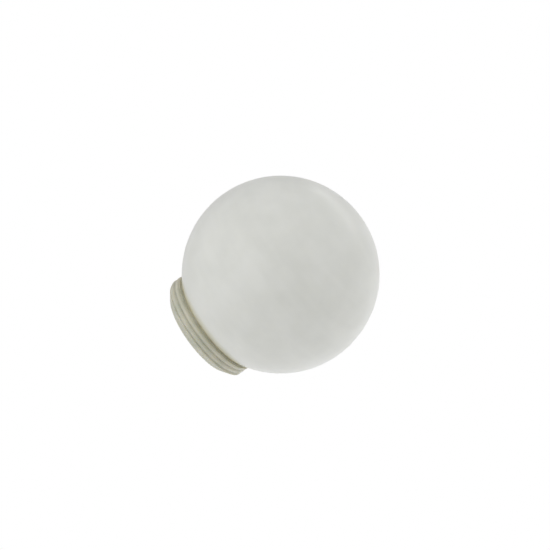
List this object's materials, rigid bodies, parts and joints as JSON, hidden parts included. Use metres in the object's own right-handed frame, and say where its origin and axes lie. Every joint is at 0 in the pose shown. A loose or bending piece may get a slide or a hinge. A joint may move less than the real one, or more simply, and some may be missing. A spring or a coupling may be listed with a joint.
{
  "type": "ball globe light shade",
  "caption": "Hollow opal ball shade on a short screw neck with a rounded right-hand thread, open at the neck to take a lamp.",
  "frame": {"origin": "centre of the rim at the open end of the screw neck", "axes": "+Z along the neck and ball axis, from the open rim through the ball; X and Y across the neck"},
  "size_m": [0.15, 0.15, 0.154],
  "materials": {
    "opal_shell": "opal acrylic, blow moulded, soft satin gloss",
    "cream_collar": "cream opal acrylic, injection moulded, satin",
    "cement": "cured acrylic cement, pale amber, glossy"
  },
  "bodies": {
    "root": {"globe_shell": "opal_shell", "threaded_collar": "cream_collar", "bond_bead": "cement"}
  },
  "joints": []
}
